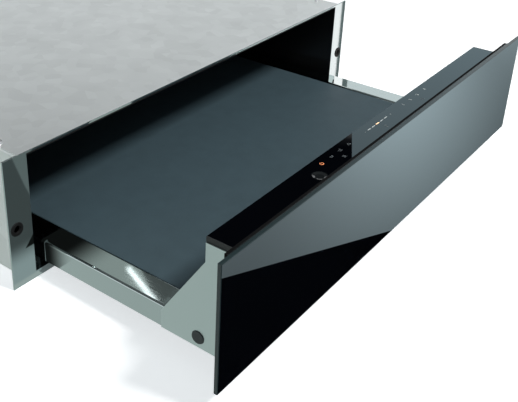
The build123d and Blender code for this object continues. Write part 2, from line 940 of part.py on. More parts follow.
with BuildPart() as bracket_right:
    with BuildSketch(at_side(side_outer_half)):
        with BuildLine():
            Polyline(
                (carrier_back, side_bottom),
                (carrier_back, ledge_bottom),
                (carrier_back + bracket_rear, ledge_bottom),
                (carrier_back + bracket_rear, bracket_knee_height),
                (carrier_back + bracket_foot_reach, bracket_foot_height),
                (carrier_back + bracket_foot_reach, side_bottom),
                close=True,
            )
        make_face()
        with Locations((carrier_back + plug_setback, plug_height)):
            Circle(plug_stem_radius + fit, mode=Mode.SUBTRACT)
    extrude(amount=bracket_gauge)
    with BuildSketch(at_depth(carrier_back + bracket_gauge)):
        area((side_outer_half - bracket_flange, rim_height + slip), (side_outer_half, ledge_bottom))
        with Locations(*carrier_screw_places):
            Circle(screw_shank_radius + fit, mode=Mode.SUBTRACT)
    extrude(amount=bracket_gauge)

with BuildPart() as bracket_left:
    mirror(bracket_right.part, about=Plane.YZ)

with BuildPart() as bracket_plugs:
    plug_y = carrier_back + plug_setback
    for side in (-1, 1):
        with BuildSketch(at_side(side * bracket_outer)):
            with Locations((plug_y, plug_height)):
                Circle(plug_radius)
        extrude(amount=side * plug_head_height, taper=head_taper)
        with BuildSketch(at_side(side * bracket_outer)):
            with Locations((plug_y, plug_height)):
                Circle(plug_stem_radius)
        extrude(amount=-side * (bracket_gauge - fit))

with BuildPart() as carrier_screws:
    with BuildSketch(at_depth(carrier_back + bracket_gauge)):
        with Locations(*carrier_screw_places):
            Circle(screw_head_radius)
    extrude(amount=-screw_head_height, taper=screw_taper)
    with BuildSketch(at_depth(carrier_back + bracket_gauge)):
        with Locations(*carrier_screw_places):
            Circle(screw_shank_radius)
    extrude(amount=bracket_gauge + carrier_gauge + screw_tip)

# ------------------------------------------------------------------ control ledge
ledge_mid = ledge_half - ledge_cap_gauge

with BuildPart() as ledge_body:
    with BuildSketch(at_height(ledge_bottom)):
        area((-ledge_mid, carrier_back), (ledge_mid, ledge_rear))
    extrude(amount=ledge_body_gauge)

with BuildPart() as control_glass:
    with BuildSketch(at_height(control_glass_bottom)):
        area((-ledge_mid, carrier_back), (ledge_mid, ledge_rear))
        with Locations((lens_x, carrier_back + lens_setback)):
            Circle(lens_radius + fit, mode=Mode.SUBTRACT)
    extrude(amount=control_glass_gauge)

with BuildPart() as sensor_lens:
    with BuildSketch(at_height(control_glass_bottom)):
        with Locations((lens_x, carrier_back + lens_setback)):
            Circle(lens_radius)
    extrude(amount=control_glass_gauge)
    with BuildSketch(at_height(ledge_top)):
        with Locations((lens_x, carrier_back + lens_setback)):
            Circle(lens_radius - lens_rim)
    extrude(amount=-lens_dish, taper=lens_dish_taper, mode=Mode.SUBTRACT)

with BuildPart() as ledge_end_caps:
    for side in (-1, 1):
        with BuildSketch(at_side(side * ledge_mid)):
            area((carrier_back, ledge_bottom), (ledge_rear, ledge_top))
        extrude(amount=side * ledge_cap_gauge)

with BuildPart() as touch_board:
    with BuildSketch(at_height(board_bottom)):
        area((-board_half, carrier_back + board_front_gap), (board_half, ledge_rear - board_rear_gap))
    extrude(amount=board_gauge)

with BuildPart() as board_cover:
    with BuildSketch(at_side(-board_half - cover_margin)):
        with BuildLine():
            Polyline(
                (carrier_back, ledge_bottom),
                (carrier_back, ledge_bottom - cover_height),
                (carrier_back + cover_shelf, ledge_bottom - cover_height),
                (ledge_rear - cover_rear_gap, ledge_bottom - cover_rear_height),
                (ledge_rear - cover_rear_gap, ledge_bottom),
                close=True,
            )
        make_face()
    extrude(amount=2 * (board_half + cover_margin))
    under_ledge = board_cover.faces().sort_by(Axis.Z)[-1]
    offset(amount=-cover_wall, openings=under_ledge)

# ------------------------------------------------------------------ push-to-open unit, switch and magnet
latch_body_front = latch_face + plunger_head_gauge + slip
latch_z = base_top + latch_height / 2
striker_y = latch_face - closed_gap - striker_gauge - travel_to_close

with BuildPart() as push_latch:
    with BuildSketch(at_height(base_top)):
        area((-latch_width / 2, latch_body_front), (latch_width / 2, latch_body_front + latch_length))
    extrude(amount=latch_height)
    upright = push_latch.edges().filter_by(Axis.Z)
    fillet(upright, latch_corner)
    with BuildSketch(at_height(base_top)):
        with Locations((0, latch_body_front + latch_length / 2)):
            RectangleRounded(latch_width + 2 * latch_ear_reach, latch_ear_length, latch_corner)
            with GridLocations(latch_width + latch_ear_reach, 0, 2, 1):
                Circle(latch_screw_radius, mode=Mode.SUBTRACT)
    extrude(amount=latch_ear_gauge)
    with BuildSketch(at_depth(latch_body_front + plunger_length)):
        with Locations((0, latch_z)):
            Circle(plunger_radius + slip)
    extrude(amount=plunger_length, mode=Mode.SUBTRACT)

with BuildPart() as push_plunger:
    with BuildSketch(at_depth(latch_face + plunger_head_gauge)):
        with Locations((0, latch_z)):
            Circle(plunger_head_radius)
    extrude(amount=plunger_head_gauge)
    with BuildSketch(at_depth(latch_face + plunger_length)):
        with Locations((0, latch_z)):
            Circle(plunger_radius)
    extrude(amount=plunger_length - plunger_head_gauge)

with BuildPart() as latch_striker:
    with BuildSketch(at_side(-striker_width / 2)):
        folded(
            [
                (striker_y + striker_width, floor_top - floor_gauge),
                (striker_y, floor_top - floor_gauge),
                (striker_y, striker_clearance),
            ],
            striker_gauge,
            Side.LEFT,
        )
    extrude(amount=striker_width)

with BuildPart() as reed_switch:
    with BuildSketch(at_height(base_top)):
        with Locations((switch_x, switch_y)):
            RectangleRounded(switch_size[0], switch_size[1], switch_corner)
    extrude(amount=switch_size[2])

with BuildPart() as switch_magnet:
    with BuildSketch(at_height(floor_top - floor_gauge)):
        with Locations((switch_x, switch_y - travel_to_close)):
            Rectangle(magnet_size[0], magnet_size[1])
    extrude(amount=-magnet_size[2])

# ------------------------------------------------------------------ left-hand runners and side, by mirror
with BuildPart() as runner_support_left:
    mirror(runner_support_right.part, about=Plane.YZ)

with BuildPart() as fixed_runner_left:
    mirror(fixed_runner_right.part, about=Plane.YZ)

with BuildPart() as middle_runner_left:
    mirror(middle_runner_right.part, about=Plane.YZ)

with BuildPart() as drawer_runner_left:
    mirror(drawer_runner_right.part, about=Plane.YZ)

with BuildPart() as outer_cage_left:
    mirror(outer_cage_right.part, about=Plane.YZ)

with BuildPart() as inner_cage_left:
    mirror(inner_cage_right.part, about=Plane.YZ)

with BuildPart() as drawer_side_left:
    mirror(drawer_side_right.part, about=Plane.YZ)

# ------------------------------------------------------------------ labels and files
pieces = {
    "front_frame": front_frame,
    "opening_seal": opening_seal,
    "frame_grommets": frame_grommets,
    "casing_base": casing_base,
    "casing_side_left": casing_side_left,
    "casing_side_right": casing_side_right,
    "casing_top": casing_top,
    "casing_back": casing_back,
    "casing_screws": casing_screws,
    "rubber_feet": rubber_feet,
    "cavity_liner": cavity_liner,
    "insulation_pads": insulation_pads,
    "rear_baffle": rear_baffle,
    "heater_element": heater_element,
    "fan_wheel": fan_wheel,
    "fan_shaft": fan_shaft,
    "motor_plate": motor_plate,
    "fan_motor": fan_motor,
    "safety_cutout": safety_cutout,
    "temperature_probe": temperature_probe,
    "board_tray": board_tray,
    "power_board": power_board,
    "terminal_block": terminal_block,
    "mains_gland": mains_gland,
    "runner_support_left": runner_support_left,
    "runner_support_right": runner_support_right,
    "fixed_runner_left": fixed_runner_left,
    "fixed_runner_right": fixed_runner_right,
    "middle_runner_left": middle_runner_left,
    "middle_runner_right": middle_runner_right,
    "drawer_runner_left": drawer_runner_left,
    "drawer_runner_right": drawer_runner_right,
    "outer_cage_left": outer_cage_left,
    "outer_cage_right": outer_cage_right,
    "inner_cage_left": inner_cage_left,
    "inner_cage_right": inner_cage_right,
    "drawer_side_left": drawer_side_left,
    "drawer_side_right": drawer_side_right,
    "drawer_rear_rail": drawer_rear_rail,
    "drawer_front_rail": drawer_front_rail,
    "drawer_floor": drawer_floor,
    "anti_slip_mat": anti_slip_mat,
    "front_glass": front_glass,
    "front_carrier": front_carrier,
    "front_seal": front_seal,
    "bracket_left": bracket_left,
    "bracket_right": bracket_right,
    "bracket_plugs": bracket_plugs,
    "carrier_screws": carrier_screws,
    "ledge_body": ledge_body,
    "control_glass": control_glass,
    "sensor_lens": sensor_lens,
    "ledge_end_caps": ledge_end_caps,
    "touch_board": touch_board,
    "board_cover": board_cover,
    "push_latch": push_latch,
    "push_plunger": push_plunger,
    "latch_striker": latch_striker,
    "reed_switch": reed_switch,
    "switch_magnet": switch_magnet,
}

os.makedirs("parts", exist_ok=True)
for label, piece in pieces.items():
    piece.part.label = label
    export_step(piece.part, f"parts/{label}.step")
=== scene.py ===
"""Looks of the built-in warming drawer: finishes, printed marks, stage, lamps and camera."""

from math import cos, pi, radians, sin

import bmesh
import bpy
from mathutils import Matrix, Vector


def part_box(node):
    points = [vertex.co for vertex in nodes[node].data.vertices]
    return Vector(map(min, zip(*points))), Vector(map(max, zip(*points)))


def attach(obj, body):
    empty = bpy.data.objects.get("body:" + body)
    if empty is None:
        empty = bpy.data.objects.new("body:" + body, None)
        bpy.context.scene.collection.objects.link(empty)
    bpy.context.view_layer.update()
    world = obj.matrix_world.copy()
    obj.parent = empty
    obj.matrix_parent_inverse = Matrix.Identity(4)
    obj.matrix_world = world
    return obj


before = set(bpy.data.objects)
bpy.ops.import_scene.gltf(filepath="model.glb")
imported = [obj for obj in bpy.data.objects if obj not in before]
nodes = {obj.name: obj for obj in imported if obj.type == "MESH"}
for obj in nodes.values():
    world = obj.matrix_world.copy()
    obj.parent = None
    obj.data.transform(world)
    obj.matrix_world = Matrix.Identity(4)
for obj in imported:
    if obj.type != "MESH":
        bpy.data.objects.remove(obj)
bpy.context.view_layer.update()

MM = 0.001
ACROSS, DEPTH, HEIGHT = 0, 1, 2
BLACK = (0.0, 0.0, 0.0)
WHITE = (1.0, 1.0, 1.0)


# ------------------------------------------------------------------ finishes of the nodes
def mix_colours(tree, factor, low, high):
    """Blend two colours, each a plain colour or another node's output."""
    node = tree.nodes.new("ShaderNodeMix")
    node.data_type = "RGBA"
    tree.links.new(factor, node.inputs[0])
    for socket, value in ((node.inputs[6], low), (node.inputs[7], high)):
        if isinstance(value, tuple):
            socket.default_value = (*value, 1.0)
        else:
            tree.links.new(value, socket)
    return node.outputs[2]


class Recipe:
    """One procedural material: a Principled surface, and short calls that add nodes to it."""

    def __init__(self, name, colour, roughness, metallic=0.0, **sockets):
        self.material = bpy.data.materials.new(name)
        self.material.use_nodes = True
        self.tree = self.material.node_tree
        self.surface = self.tree.nodes["Principled BSDF"]
        self.colour = colour
        self.roughness = roughness
        self.set("Base Color", (*colour, 1.0))
        self.set("Roughness", roughness)
        self.set("Metallic", metallic)
        for socket, value in sockets.items():
            self.set(socket.replace("_", " "), value)
        self.place = self.node("ShaderNodeTexCoord").outputs["Object"]

    def set(self, socket, value):
        self.surface.inputs[socket].default_value = value

    def node(self, kind, links=(), values=(), **settings):
        node = self.tree.nodes.new(kind)
        for key, value in settings.items():
            setattr(node, key, value)
        for socket, value in values:
            node.inputs[socket].default_value = value
        for socket, output in links:
            self.tree.links.new(output, node.inputs[socket])
        return node

    def link(self, output, socket):
        self.tree.links.new(output, self.surface.inputs[socket])

    def noise(self, scale, detail=3.0):
        """Noise from 0 to 1: scale is its spots per metre, one number or one for each axis."""
        scale = scale if isinstance(scale, tuple) else (scale, scale, scale)
        place = self.node("ShaderNodeMapping", [("Vector", self.place)], [("Scale", scale)]).outputs[0]
        values = [("Scale", 1.0), ("Detail", detail)]
        return self.node("ShaderNodeTexNoise", [("Vector", place)], values).outputs["Fac"]

    def cells(self, scale, output="Color"):
        """Voronoi cells, scale of them per metre: a colour for each, or the distance from its middle."""
        links = [("Vector", self.place)]
        return self.node("ShaderNodeTexVoronoi", links, [("Scale", scale)]).outputs[output]

    def spread(self, value, low, high):
        """Map a 0-1 texture value to a range."""
        links = [("Value", value)]
        return self.node("ShaderNodeMapRange", links, [("To Min", low), ("To Max", high)]).outputs[0]

    def bump(self, height, strength, depth):
        values = [("Strength", strength), ("Distance", depth)]
        self.link(self.node("ShaderNodeBump", [("Height", height)], values).outputs[0], "Normal")

    def vary(self, value, amount):
        """Lighten and darken the base colour a little by a texture value."""
        low = tuple(c * (1 - amount) for c in self.colour)
        high = tuple(min(1.0, c * (1 + amount)) for c in self.colour)
        self.link(mix_colours(self.tree, value, low, high), "Base Color")

    def vary_roughness(self, value, amount):
        self.link(self.spread(value, self.roughness - amount, self.roughness + amount), "Roughness")


# Brushing lines per metre, counted across them and along them.
LINES_ACROSS = 1400.0
LINES_ALONG = 6.0


def brushed(name, colour, roughness, grain, depth=4e-6):
    """Sheet metal with brushing lines. grain is the axis, 0-2, that the lines run along."""
    recipe = Recipe(name, colour, roughness, 1.0)
    scale = [LINES_ACROSS] * 3
    scale[grain] = LINES_ALONG
    lines = recipe.noise(tuple(scale), 4.0)
    recipe.vary(recipe.noise(9.0, 2.0), 0.05)
    recipe.vary_roughness(lines, 0.07)
    recipe.bump(lines, 0.5, depth)
    return recipe.material


def galvanised(name, colour, roughness):
    """Zinc-coated sheet: flat crystals of slightly different tone."""
    recipe = Recipe(name, colour, roughness, 0.85)
    recipe.vary(recipe.cells(70.0), 0.06)
    recipe.vary_roughness(recipe.noise(30.0), 0.06)
    recipe.bump(recipe.noise(400.0), 0.15, 1e-5)
    return recipe.material


def plated(name, colour, roughness):
    """Zinc-plated steel: bright, with faint rolling marks along the travel."""
    recipe = Recipe(name, colour, roughness, 1.0)
    rolled = recipe.noise((500.0, 5.0, 500.0))
    recipe.vary(recipe.noise(25.0), 0.05)
    recipe.vary_roughness(rolled, 0.05)
    recipe.bump(rolled, 0.3, 5e-6)
    return recipe.material


def moulded(name, colour, roughness, grain_scale=2200.0, depth=1.2e-5, **sockets):
    """Injection-moulded plastic, rubber or ceramic with a fine grain."""
    recipe = Recipe(name, colour, roughness, **sockets)
    recipe.vary(recipe.noise(40.0), 0.12)
    recipe.vary_roughness(recipe.noise(300.0), 0.06)
    recipe.bump(recipe.cells(grain_scale, "Distance"), 0.35, depth)
    return recipe.material


def black_glass(name):
    """Black-backed float glass, polished all over, and the direction that each spot of it faces."""
    recipe = Recipe(name, (0.0012, 0.0016, 0.0027), 0.012, IOR=1.52)
    facing = recipe.node("ShaderNodeTexCoord").outputs["Normal"]
    return recipe, recipe.node("ShaderNodeSeparateXYZ", [("Vector", facing)]).outputs


def grind_edges(recipe, facing, least, colour, roughness):
    """Where the output facing is under least, the glass is ground and shows its own teal."""
    edge = recipe.node("ShaderNodeMath", [(0, facing)], [(1, least)], operation="LESS_THAN").outputs[0]
    recipe.link(mix_colours(recipe.tree, edge, recipe.colour, colour), "Base Color")
    recipe.link(recipe.spread(edge, recipe.roughness, roughness), "Roughness")


def front_glass_material():
    recipe, facing = black_glass("glass.front")
    frontward = recipe.node("ShaderNodeMath", [(0, facing["Y"])], operation="ABSOLUTE").outputs[0]
    grind_edges(recipe, frontward, 0.8, (0.016, 0.030, 0.033), 0.22)
    return recipe.material


def control_glass_material():
    recipe, facing = black_glass("glass.control")
    grind_edges(recipe, facing["Z"], 0.5, (0.012, 0.020, 0.022), 0.2)
    return recipe.material


def mat_material():
    """Anti-slip mat: slate elastomer with a fine pebble grain and a slight sheen."""
    recipe = Recipe("rubber.mat", (0.045, 0.077, 0.094), 0.62)
    recipe.vary(recipe.noise(55.0, 4.0), 0.16)
    recipe.vary_roughness(recipe.noise(500.0), 0.08)
    recipe.bump(recipe.cells(850.0, "Distance"), 0.5, 6e-5)
    return recipe.material


def enamel_material():
    recipe = Recipe("enamel.dark", (0.006, 0.0065, 0.0075), 0.22)
    recipe.vary(recipe.noise(60.0), 0.2)
    recipe.bump(recipe.noise(700.0), 0.12, 1.5e-5)
    return recipe.material


def insulation_material():
    recipe = Recipe("fibre.insulation", (0.70, 0.66, 0.52), 0.95)
    fibres = recipe.noise((900.0, 120.0, 900.0), 6.0)
    recipe.vary(fibres, 0.25)
    recipe.bump(fibres, 0.8, 6e-4)
    return recipe.material


def laminated_material():
    """Motor core: thin iron sheets stacked along the shaft."""
    recipe = Recipe("iron.laminated", (0.20, 0.20, 0.21), 0.45, 0.8)
    links = [("Vector", recipe.place)]
    wave = recipe.node("ShaderNodeTexWave", links, [("Scale", 320.0)], bands_direction="Y")
    sheets = wave.outputs["Fac"]
    recipe.vary(sheets, 0.3)
    recipe.bump(sheets, 0.6, 1e-4)
    return recipe.material


def board_material():
    """Circuit board: green solder mask over copper tracks."""
    recipe = Recipe("board.green", (0.008, 0.085, 0.030), 0.30)
    values = [("Scale", 55.0), ("Mortar Size", 0.012)]
    tracks = recipe.node("ShaderNodeTexBrick", [("Vector", recipe.place)], values).outputs["Fac"]
    recipe.link(mix_colours(recipe.tree, tracks, recipe.colour, (0.03, 0.17, 0.06)), "Base Color")
    recipe.bump(tracks, 0.3, 3e-5)
    return recipe.material


def lens_material():
    recipe = Recipe("lens.dark", (0.010, 0.012, 0.013), 0.05, IOR=1.49)
    recipe.vary_roughness(recipe.noise(700.0), 0.02)
    return recipe.material


STEEL = (0.52, 0.60, 0.60)
BRACKET_STEEL = (0.57, 0.66, 0.655)
ZINC = (0.62, 0.64, 0.65)
RUBBER = (0.006, 0.0065, 0.007)
SEAL_RUBBER = (0.003, 0.0032, 0.0035)

materials = {
    "frame": brushed("steel.frame", STEEL, 0.17, ACROSS),
    "rim": brushed("steel.rim", STEEL, 0.08, DEPTH, 1e-6),
    "bracket": brushed("steel.bracket", BRACKET_STEEL, 0.36, HEIGHT, 6e-6),
    "galvanised": galvanised("steel.galvanised", (0.80, 0.83, 0.83), 0.34),
    "runner": plated("steel.runner", ZINC, 0.24),
    "screw": plated("steel.screw", (0.58, 0.59, 0.60), 0.28),
    "carrier": brushed("aluminium.carrier", (0.075, 0.088, 0.093), 0.26, ACROSS),
    "fan": brushed("aluminium.fan", (0.70, 0.71, 0.72), 0.30, HEIGHT),
    "enamel": enamel_material(),
    "mat": mat_material(),
    "insulation": insulation_material(),
    "motor": laminated_material(),
    "board": board_material(),
    "lens": lens_material(),
    "front_glass": front_glass_material(),
    "control_glass": control_glass_material(),
    "rubber": moulded("rubber.black", RUBBER, 0.75, 1500.0, 2e-5, Specular_IOR_Level=0.25),
    "seal": moulded("rubber.seal", SEAL_RUBBER, 0.85, 1500.0, 1e-5, Specular_IOR_Level=0.1),
    "plug": moulded("plastic.plug", (0.022, 0.029, 0.031), 0.5),
    "plastic": moulded("plastic.black", (0.009, 0.012, 0.013), 0.42),
    "grey_plastic": moulded("plastic.grey", (0.30, 0.31, 0.32), 0.45),
    "ceramic": moulded("ceramic.white", (0.72, 0.70, 0.64), 0.35, 1200.0),
    "sheath": plated("steel.sheath", (0.20, 0.18, 0.17), 0.5),
}

finishes = {
    "frame": ["front_frame"],
    "rim": ["drawer_side_left", "drawer_side_right", "drawer_rear_rail", "drawer_front_rail"],
    "bracket": ["bracket_left", "bracket_right"],
    "galvanised": [
        "casing_base",
        "casing_side_left",
        "casing_side_right",
        "casing_top",
        "casing_back",
        "rear_baffle",
        "motor_plate",
        "drawer_floor",
        "latch_striker",
        "runner_support_left",
        "runner_support_right",
    ],
    "runner": [
        f"{member}_{side}"
        for member in ("fixed_runner", "middle_runner", "drawer_runner", "outer_cage", "inner_cage")
        for side in ("left", "right")
    ],
    "screw": ["casing_screws", "carrier_screws", "fan_shaft", "temperature_probe"],
    "carrier": ["front_carrier"],
    "fan": ["fan_wheel"],
    "enamel": ["cavity_liner"],
    "mat": ["anti_slip_mat"],
    "insulation": ["insulation_pads"],
    "motor": ["fan_motor", "switch_magnet"],
    "board": ["power_board", "touch_board"],
    "lens": ["sensor_lens"],
    "front_glass": ["front_glass"],
    "control_glass": ["control_glass"],
    "rubber": ["opening_seal", "frame_grommets", "rubber_feet"],
    "seal": ["front_seal"],
    "plug": ["bracket_plugs"],
    "plastic": [
        "ledge_body",
        "ledge_end_caps",
        "board_cover",
        "board_tray",
        "mains_gland",
        "reed_switch",
    ],
    "grey_plastic": ["push_latch", "push_plunger"],
    "ceramic": ["safety_cutout", "terminal_block"],
    "sheath": ["heater_element"],
}

for finish, names in finishes.items():
    for name in names:
        nodes[name].data.materials.clear()
        nodes[name].data.materials.append(materials[finish])

undressed = set(nodes) - {name for names in finishes.values() for name in names}
if undressed:
    raise ValueError(f"no finish for {sorted(undressed)}")


# ------------------------------------------------------------------ printed marks with a faint painted glow, and lit marks, on the ledge
# Printed ink, or a lit mark that really shines. On printed ink the glow is painted, as no lamp gives it.
def print_material(name, colour, glow):
    recipe = Recipe(name, colour, 0.5)
    recipe.vary(recipe.noise(900.0), 0.1)
    recipe.set("Emission Color", (*colour, 1.0))
    recipe.set("Emission Strength", glow)
    return recipe.material


# Both inks carry a faint painted glow, which makes the printed marks lighter than ink alone.
INK_WITH_PAINTED_GLOW = print_material("ink.grey_painted_glow", (0.13, 0.15, 0.16), 0.06)
BRIGHT_INK_WITH_PAINTED_GLOW = print_material("ink.white_painted_glow", (0.44, 0.48, 0.48), 0.22)
LIT = print_material("light.orange", (1.0, 0.34, 0.14), 0.85)
LIT_BAR = print_material("light.warm", (1.0, 0.62, 0.36), 1.4)

LEDGE_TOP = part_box("control_glass")[1].z
MARK_LIFT = 0.02 * MM
MARK_DEPTH = 0.05 * MM
PRINT_Z = LEDGE_TOP + MARK_LIFT
STROKE = 0.34 * MM
THIN_STROKE = 0.25 * MM
SHARPEST_BEND = 0.5


def ribbon(mesh, points, width=STROKE, closed=False):
    """A flat stroke along points (x, y), in metres, with the given width and square ends.

    Its corners come to a point, cut short where the stroke bends more than SHARPEST_BEND allows.
    """
    count = len(points)
    low, high = [], []
    for index, point in enumerate(points):
        here = Vector(point)
        ways = []
        if index or closed:
            ways.append((here - Vector(points[index - 1])).normalized())
        if index < count - 1 or closed:
            ways.append((Vector(points[(index + 1) % count]) - here).normalized())
        along = sum(ways, Vector((0, 0))).normalized()
        side = Vector((-along.y, along.x)) * width / 2
        if len(ways) == 2:
            side /= max(SHARPEST_BEND, along.dot(ways[0]))
        low.append(mesh.verts.new((*(here - side), PRINT_Z)))
        high.append(mesh.verts.new((*(here + side), PRINT_Z)))
    for index in range(count if closed else count - 1):
        after = (index + 1) % count
        mesh.faces.new((low[index], low[after], high[after], high[index]))


def arc(centre, radius, start, end, steps=20):
    """Points (x, y) from one angle to another, both in degrees."""
    turns = [radians(start + (end - start) * step / steps) for step in range(steps + 1)]
    return [(centre[0] + radius * cos(turn), centre[1] + radius * sin(turn)) for turn in turns]


def circle(centre, radius, steps=24):
    return arc(centre, radius, 0, 360, steps)[:-1]


def disc(mesh, centre, radius):
    mesh.faces.new([mesh.verts.new((x, y, PRINT_Z)) for x, y in circle(centre, radius)])


FRONT_ROW = -0.2146
REAR_ROW = -0.2060
POWER_X = -0.1075
POWER_RADIUS = 1.7 * MM
BAR_XS = [-0.0197, -0.0112, -0.0027, 0.0058, 0.0142]
BAR_LENGTH = 5.6 * MM
BAR_WIDTH = 1.0 * MM
MINUS_X = -0.0272
PLUS_X = 0.0245
SIGN_REACH = 1.1 * MM
HOUR_XS = [0.0537, 0.0697, 0.0862, 0.1044]
FIGURE_SIZE = 5.0 * MM
FIGURE_WEIGHT = 0.04 * MM


def power_symbol(mesh):
    ribbon(mesh, arc((POWER_X, REAR_ROW), POWER_RADIUS, 125, 415))
    ribbon(mesh, [(POWER_X, REAR_ROW + 0.5 * MM), (POWER_X, REAR_ROW + 2.3 * MM)])


def bars(mesh, lit):
    """The middle bar if lit, and otherwise the others."""
    for index, x in enumerate(BAR_XS):
        if (index == len(BAR_XS) // 2) == lit:
            half = BAR_LENGTH / 2
            ribbon(mesh, [(x - half, REAR_ROW), (x + half, REAR_ROW)], BAR_WIDTH)


def minus_and_plus(mesh):
    for x in (MINUS_X, PLUS_X):
        ribbon(mesh, [(x - SIGN_REACH, REAR_ROW), (x + SIGN_REACH, REAR_ROW)])
    ribbon(mesh, [(PLUS_X, REAR_ROW - SIGN_REACH), (PLUS_X, REAR_ROW + SIGN_REACH)])


def cup_icon(mesh, x, y):
    bowl = arc((x, y + 0.8 * MM), 1.7 * MM, 180, 360)
    ribbon(mesh, [*bowl, bowl[0]])
    ribbon(mesh, arc((x + 1.9 * MM, y + 0.2 * MM), 0.8 * MM, -100, 100))


def plates_icon(mesh, x, y):
    foot, brim, depth = 1.2 * MM, 2.0 * MM, 0.4 * MM
    for base in (y - 1.2 * MM, y, y + 1.2 * MM):
        left = [(x - brim, base + depth), (x - foot, base)]
        right = [(x + foot, base), (x + brim, base + depth)]
        ribbon(mesh, left + right)


def dish_icon(mesh, x, y):
    ribbon(mesh, [(x - 2.3 * MM, y - 0.9 * MM), (x + 2.3 * MM, y - 0.9 * MM)])
    ribbon(mesh, arc((x, y - 0.5 * MM), 1.8 * MM, 0, 180))
    disc(mesh, (x, y + 1.7 * MM), 0.4 * MM)


def warm_icon(mesh, x, y):
    sway, step_height, steps = 0.35 * MM, 0.32 * MM, 12
    for shift in (-1.3 * MM, 0, 1.3 * MM):
        wave = [
            (x + shift + sway * sin(2 * pi * step / steps), y + (step - steps / 2) * step_height)
            for step in range(steps + 1)
        ]
        ribbon(mesh, wave)


def thermometer_icon(mesh, x, y):
    bulb = (x, y - 1.5 * MM)
    disc(mesh, bulb, 0.9 * MM)
    ribbon(mesh, [bulb, (x, y + 2.2 * MM)], 0.6 * MM)
    for rise in (0.2 * MM, 1.1 * MM, 2.0 * MM):
        ribbon(mesh, [(x + 0.9 * MM, y + rise), (x + 1.7 * MM, y + rise)], THIN_STROKE)


def clock_icon(mesh, x, y):
    ribbon(mesh, arc((x, y), 2.0 * MM, 0, 345, 28), closed=True)
    ribbon(mesh, [(x, y + 1.3 * MM), (x, y), (x + 1.0 * MM, y)], 0.3 * MM)


ICONS = [
    (cup_icon, -0.0910, REAR_ROW),
    (plates_icon, -0.0748, REAR_ROW),
    (dish_icon, -0.0591, REAR_ROW),
    (warm_icon, -0.0825, FRONT_ROW),
    (thermometer_icon, -0.0022, FRONT_ROW),
    (clock_icon, 0.0797, FRONT_ROW),
]


def icons(mesh):
    for draw, x, y in ICONS:
        draw(mesh, x, y)


def put_on_ledge(name, data, material):
    data.materials.clear()
    data.materials.append(material)
    piece = bpy.data.objects.new(name, data)
    bpy.context.scene.collection.objects.link(piece)
    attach(piece, "drawer")


def mark(name, material, draw):
    """One printed mark: draw(mesh) adds flat faces, which then get the ink's thickness."""
    mesh = bmesh.new()
    draw(mesh)
    grown = bmesh.ops.extrude_face_region(mesh, geom=mesh.faces[:])
    lifted = [item for item in grown["geom"] if isinstance(item, bmesh.types.BMVert)]
    bmesh.ops.translate(mesh, verts=lifted, vec=(0, 0, MARK_DEPTH))
    bmesh.ops.recalc_face_normals(mesh, faces=mesh.faces[:])
    data = bpy.data.meshes.new(name)
    mesh.to_mesh(data)
    mesh.free()
    put_on_ledge(name, data, material)


def figure(character, x):
    """A printed figure, with a faint painted glow, set in the plain built-in letterform."""
    curve = bpy.data.curves.new(f"figure.{character}", "FONT")
    curve.body = character
    curve.size = FIGURE_SIZE
    curve.align_x = "CENTER"
    curve.align_y = "CENTER"
    curve.extrude = MARK_DEPTH / 2
    curve.offset = FIGURE_WEIGHT
    shaped = bpy.data.objects.new(f"figure.{character}", curve)
    data = bpy.data.meshes.new_from_object(shaped)
    bpy.data.objects.remove(shaped)
    data.transform(Matrix.Translation((x, REAR_ROW, PRINT_Z + MARK_DEPTH / 2)))
    put_on_ledge(f"figure_{character}", data, BRIGHT_INK_WITH_PAINTED_GLOW)


mark("mark_power", LIT, power_symbol)
mark("mark_bars", BRIGHT_INK_WITH_PAINTED_GLOW, lambda mesh: bars(mesh, False))
mark("mark_bar_lit", LIT_BAR, lambda mesh: bars(mesh, True))
mark("mark_signs", BRIGHT_INK_WITH_PAINTED_GLOW, minus_and_plus)
mark("mark_icons", INK_WITH_PAINTED_GLOW, icons)
for hours, hour_x in enumerate(HOUR_XS, start=1):
    figure(str(hours), hour_x)


# ------------------------------------------------------------------ stage: what its materials are made of
def calculate(tree, operation, *values):
    """A Math node's output. Each value is a number or another node's output."""
    node = tree.nodes.new("ShaderNodeMath")
    node.operation = operation
    for socket, value in zip(node.inputs, values):
        if isinstance(value, float):
            socket.default_value = value
        else:
            tree.links.new(value, socket)
    return node.outputs[0]


def rays(tree):
    """Two outputs: 1 for what the camera sees, also through glass, and 1 for what reflections see."""
    path = tree.nodes.new("ShaderNodeLightPath")
    seen = calculate(tree, "MAXIMUM", path.outputs["Is Camera Ray"], path.outputs["Is Transmission Ray"])
    return seen, path.outputs["Is Glossy Ray"]


FLOOR_GLOW = 0.62
FLOOR_GLOW_REFLECTED = 0.05


def floor_material():
    """Pale floor: diffuse, so it keeps the object's shadow, with some light of its own to read as white."""
    material = bpy.data.materials.new("stage.floor")
    material.use_nodes = True
    tree = material.node_tree
    surface = tree.nodes["Principled BSDF"]
    surface.inputs["Base Color"].default_value = (0.80, 0.80, 0.80, 1.0)
    surface.inputs["Roughness"].default_value = 0.9
    surface.inputs["Specular IOR Level"].default_value = 0.0
    surface.inputs["Emission Color"].default_value = (0.95, 0.98, 1.0, 1.0)
    seen, reflected = rays(tree)
    own = calculate(tree, "MULTIPLY", seen, FLOOR_GLOW)
    mirror = calculate(tree, "MULTIPLY", reflected, FLOOR_GLOW_REFLECTED)
    tree.links.new(calculate(tree, "ADD", own, mirror), surface.inputs["Emission Strength"])
    return material


